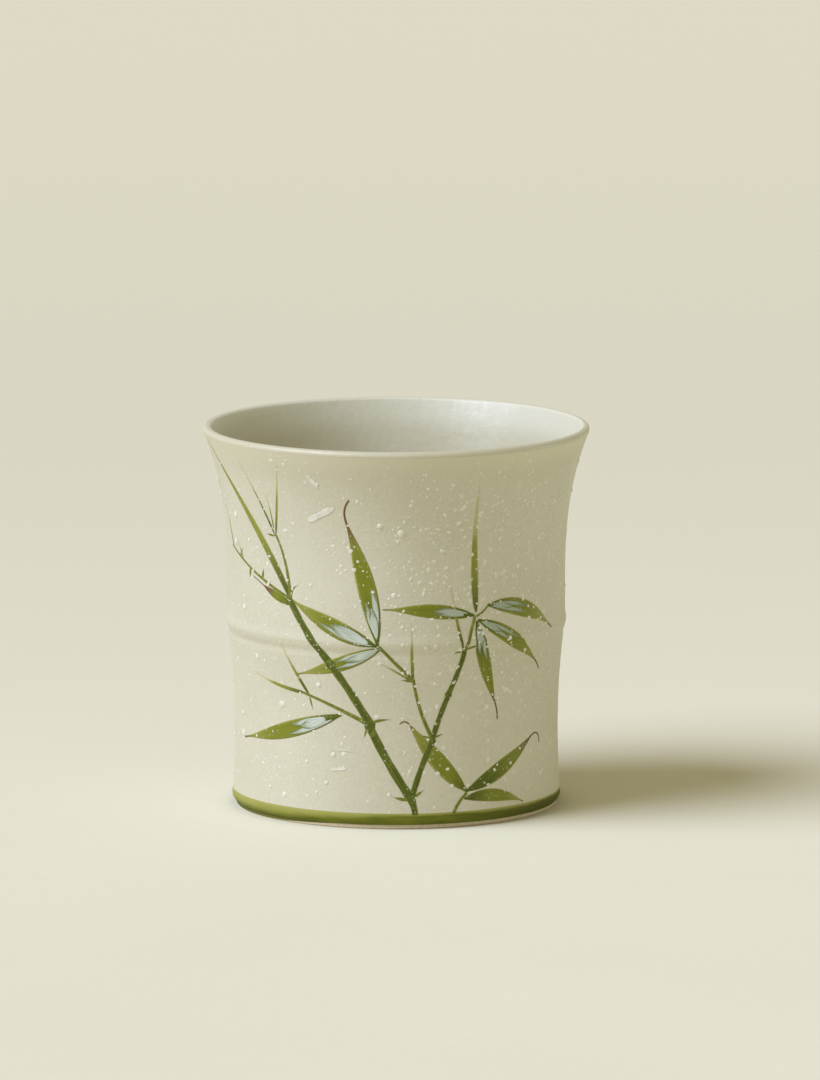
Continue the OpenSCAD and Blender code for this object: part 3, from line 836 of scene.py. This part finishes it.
def paint_dab(leaf, lift, first, last, side, breadth, thin):
    """One pull of the snow brush along the lower half of a leaf, to one side of its middle line."""
    x, height, direction, length, share, bow, curl, tail = leaf
    length *= PICTURE_UNIT
    columns = []
    for i, (along, across, heading) in enumerate(leaf_line(length, bow, curl, tail)[first:last + 1]):
        t = i / (last - first)
        belly = share * length * leaf_width((first + i) / LEAF_STEPS, tail)
        aside = side * belly / 2
        columns.append((along - math.sin(heading) * aside, across + math.cos(heading) * aside, heading,
                        breadth * belly * max(0.1, math.sin(math.pi * (0.06 + 0.9 * t) ** 0.9)) ** 0.7))
    return lay_on_wall(brush_strip(columns), (x, height), math.radians(direction), length, lift, thin)


def paint_snow_on(leaf, reach, thin, breadth):
    """A broad pull between two narrow ones that run on longer leaves a ragged end."""
    dabs = []
    for i, (side, share, longer) in enumerate(((-0.5, 0.34, 2), (0.5, 0.34, 3), (0.0, 0.72, 0))):
        first = chance.randint(1, 3)
        last = round(reach * LEAF_STEPS) + longer + chance.randint(-2, 1)
        side = breadth * side + chance.uniform(-0.06, 0.06)
        dabs.append(paint_dab(leaf, DAB_LIFT + DAB_STEP * i, first, last, side,
                              breadth * share * chance.uniform(0.9, 1.1), thin))
    return dabs


def paint_line(points, width_at, lift):
    """A stroke through two places or round one bend."""
    places = [Vector(place) for place in points]
    start, end = places[0], places[-1]
    bend = places[1] if len(places) == 3 else (start + end) / 2
    way = (end - start) * PICTURE_UNIT
    direction = math.atan2(way.y, way.x)
    columns = []
    for i in range(LINE_STEPS + 1):
        t = i / LINE_STEPS
        place = (start * (1 - t) ** 2 + bend * 2 * t * (1 - t) + end * t ** 2 - start) * PICTURE_UNIT
        heading = (bend - start) * (1 - t) + (end - bend) * t
        columns.append((place.dot(way) / way.length, way.cross(place) / way.length,
                        math.atan2(heading.y, heading.x) - direction, width_at(t)))
    return lay_on_wall(brush_strip(columns), start, direction, way.length, lift)


def paint_cane(joints, bends, root_width):
    """Lengths that bend a little and swell at their ends, with a rough knot on every joint."""
    strokes = []
    for i, bend in enumerate(bends):
        start, end = Vector(joints[i]), Vector(joints[i + 1])
        way = (end - start).normalized()
        turning = (start + end) / 2 + Vector((-way.y, way.x)) * 2 * bend
        here, above = (root_width * (1 - CANE_TAPER * (i + k) / len(bends)) for k in (0, 1))
        sway = chance.uniform(0, 6)

        def length_width(t):
            swollen_ends = 0.13 * (2 * t - 1) ** 4
            return (here + (above - here) * t) * (0.9 + swollen_ends + 0.06 * math.sin(17 * t + sway))

        def knot_width(t):
            return above * (0.75 + 0.6 * math.sin(math.pi * t) ** 2)

        strokes.append(paint_line((start, turning, end), length_width, CANE_LIFT))
        if i < len(bends) - 1:
            reach = way * above / PICTURE_UNIT
            strokes.append(paint_line((end - reach * 0.6, end + reach * 0.5), knot_width, KNOT_LIFT))
    return strokes


def paint_twig(twig):
    """A line that thins out, with a small bud at its end."""
    *points, width, taper = twig

    def twig_width(t):
        return width * (1 - taper * t) * (1 + 0.3 * math.exp(-((t - 0.97) / 0.04) ** 2))

    return paint_line(points, twig_width, TWIG_LIFT)


def stem_width(t):
    """Widens to the fork of the canes."""
    return 1.25 + 0.9 * t ** 3


def make_painting():
    long_cane = paint_cane(LONG_CANE, LONG_BENDS, LONG_CANE_WIDTH)
    long_cane.append(paint_line(STEM, stem_width, STEM_LIFT))
    join_strokes("long_cane_paint", long_cane, cane_finish, "cane_paint", "long_cane")
    short_cane = paint_cane(SHORT_CANE, SHORT_BENDS, SHORT_CANE_WIDTH)
    join_strokes("short_cane_paint", short_cane, cane_finish, "cane_paint", "short_cane")
    twigs = [paint_twig(twig) for twig in TWIGS]
    twigs += [paint_leaf(spur + (SPUR_TAIL,), SPUR_LIFT) for spur in SPURS]
    join_strokes("twig_paint", twigs, twig_finish, "twig_paint", "twigs")
    for name, leaves in (("fan", FAN), ("middle", MIDDLE), ("left", LEFT), ("low", LOW)):
        strokes = [paint_leaf(leaf, LEAF_LIFT) for leaf in leaves]
        join_strokes(name + "_leaf_paint", strokes, leaf_finish, "leaf_paint", name + "_leaves")
    shoots = [paint_leaf(shoot + (0, SHOOT_TAIL), SHOOT_LIFT, shoot_width) for shoot in SHOOTS]
    shoots.append(paint_leaf(BLADE + (0, 0), SHOOT_LIFT, blade_width))
    join_strokes("shoot_paint", shoots, shoot_finish, "shoot_paint", "shoots")
    dabs = []
    for leaf, snow in zip(FAN + MIDDLE + LEFT[1:], LEAF_SNOW):
        dabs += paint_snow_on(leaf, *snow)
    join_strokes("leaf_snow_dabs", dabs, dab_finish, "snow_paint", "leaf_snow")
    dashes = [paint_leaf(dash + (0, 0, 0), DASH_LIFT, dash_width) for dash in DASHES]
    join_strokes("wall_snow_dashes", dashes, dash_finish, "snow_paint", "snow_dashes")


# Fine snow: how many flakes, how high they reach, and where the drift lies round the cup and in height

FINE_FLAKES = 2000
DRIFT_EVERY = 4
DRIFT_SIDE = 0.5
DRIFT_SPREAD = 0.42
SNOW_LOW = BAND_TOP + 1
SNOW_HIGH = RIM_HEIGHT - 1.5
DRIFT_HEIGHT = RIM_HEIGHT - 18


def make_fine_snow():
    """Small low domes sprinkled all round the wall, with every fourth one in a drift on the upper front."""
    deselect()
    bpy.ops.mesh.primitive_uv_sphere_add(segments=9, ring_count=6, radius=1)
    dome = bpy.context.object
    bpy.ops.object.mode_set(mode="EDIT")
    bpy.ops.mesh.select_all(action="SELECT")
    bpy.ops.mesh.bisect(plane_co=(0, 0, 0.05), plane_no=(0, 0, 1), use_fill=True, clear_inner=True)
    bpy.ops.object.mode_set(mode="OBJECT")
    bpy.ops.object.shade_smooth_by_angle(angle=math.radians(50))
    domes = []
    for i in range(FINE_FLAKES):
        copy = dome.copy()
        copy.data = dome.data.copy()
        bpy.context.collection.objects.link(copy)
        if i % DRIFT_EVERY:
            size = (0.09 + 0.36 * chance.random() ** 2.2) * MM
            z = chance.uniform(SNOW_LOW, SNOW_HIGH)
            round_cup = chance.uniform(-math.pi, math.pi)
        else:
            size = (0.18 + 0.3 * chance.random() ** 1.6) * MM
            z = chance.triangular(SNOW_LOW, SNOW_HIGH, DRIFT_HEIGHT)
            round_cup = chance.gauss(DRIFT_SIDE, DRIFT_SPREAD)
        facing = Matrix.Rotation(math.pi / 2 + lean(wall_radius, z), 4, "X")
        seat = Matrix.Translation((0, -wall_radius(z) * MM, z * MM)) @ facing
        squeeze = Matrix.Diagonal((size * chance.uniform(0.75, 1.4), size * chance.uniform(0.7, 1.1),
                                   0.035 * MM + 0.1 * size, 1))
        spin = Matrix.Rotation(chance.uniform(0, math.pi), 4, "Z")
        copy.data.transform(Matrix.Rotation(round_cup, 4, "Z") @ seat @ spin @ squeeze)
        domes.append(copy)
    bpy.data.objects.remove(dome)
    join_strokes("fine_snow_flakes", domes, flake_finish, "snow_paint")


make_painting()
bpy.data.objects.remove(brush_form)
make_fine_snow()
refinish("snow_flakes", flake_finish)


# Camera, light and floor

PAPER_DEEP = (0.765, 0.74, 0.595, 1)
PAPER_LIGHT = (0.785, 0.76, 0.615, 1)
PAPER_SHADE_BEHIND = (0.695, 0.67, 0.525, 1)
PAPER_SHADE_FAR = (0.725, 0.69, 0.53, 1)
ROOM_LIGHT = (0.395, 0.36, 0.236, 1)
ROOM_SEEN = (0.72, 0.695, 0.555, 1)


def make_camera():
    bpy.ops.object.camera_add()
    camera = bpy.context.object
    camera.name = "camera"
    aim = Vector((2.9, 0, 55.65)) * MM
    rise = math.radians(9)
    distance = 2.5
    frame_height = 0.227
    sensor = 36
    camera.location = aim + Vector((0, -math.cos(rise), math.sin(rise))) * distance
    camera.rotation_euler = (math.pi / 2 - rise, 0, 0)
    camera.data.sensor_width = sensor
    camera.data.lens = sensor * distance / frame_height
    camera.data.clip_end = 50
    bpy.context.scene.camera = camera


def make_floor():
    deselect()
    bpy.ops.mesh.primitive_circle_add(vertices=96, radius=9, fill_type="NGON", location=(0, 0, 0))
    floor = bpy.context.object
    floor.name = "floor"
    material, tree, shader = new_finish("cream paper floor", Roughness=0.95, Specular_IOR_Level=0.1)
    place = object_place(tree)
    behind = place_parts(tree, place)["Y"]
    fibre = noise(tree, place, 320, 3)
    cloud = noise(tree, place, 9, 2)
    tone = add_share(tree, share_of(tree, fibre, 0.4), cloud, 0.6)
    colour = blend(tree, spread(tree, tone, 0.3, 0.7), PAPER_DEEP, PAPER_LIGHT)
    # Painted shade: the paper is made darker from the cup backwards and into the distance, as light falling
    # off
    colour = blend(tree, spread(tree, behind, -0.15, 0.55), colour, PAPER_SHADE_BEHIND)
    colour = blend(tree, spread(tree, behind, 0.6, 1.4), colour, PAPER_SHADE_FAR)
    tree.links.new(colour, shader.inputs["Base Color"])
    floor.data.materials.append(material)


def add_sun(name, side, rise, width, energy, colour):
    """A wide far light: degrees round the cup from the front, degrees up and degrees across."""
    bpy.ops.object.light_add(type="SUN")
    sun = bpy.context.object
    sun.name = name
    sun.data.angle = math.radians(width)
    sun.data.energy = energy
    sun.data.color = colour
    side, rise = math.radians(side), math.radians(rise)
    toward = Vector((math.sin(side) * math.cos(rise), -math.cos(side) * math.cos(rise), math.sin(rise)))
    sun.location = toward * 2
    sun.rotation_euler = toward.to_track_quat("Z", "Y").to_euler()


def make_light():
    world = bpy.data.worlds.new("studio")
    bpy.context.scene.world = world
    world.use_nodes = True
    tree = world.node_tree
    glow = tree.nodes["Background"]
    path = add(tree, "LightPath")
    seen = calc(tree, "MAXIMUM", path.outputs["Is Camera Ray"], path.outputs["Is Glossy Ray"])
    tree.links.new(blend(tree, seen, ROOM_LIGHT, ROOM_SEEN), glow.inputs["Color"])
    glow.inputs["Strength"].default_value = 1.0
    add_sun("window_light", side=-66, rise=45, width=40, energy=3.55, colour=(0.75, 0.80, 1.0))
    add_sun("far_wall_glow", side=98, rise=1, width=4, energy=0.36, colour=(0.9, 1.0, 0.9))


make_camera()
make_floor()
make_light()
bpy.context.scene.view_settings.view_transform = "Standard"
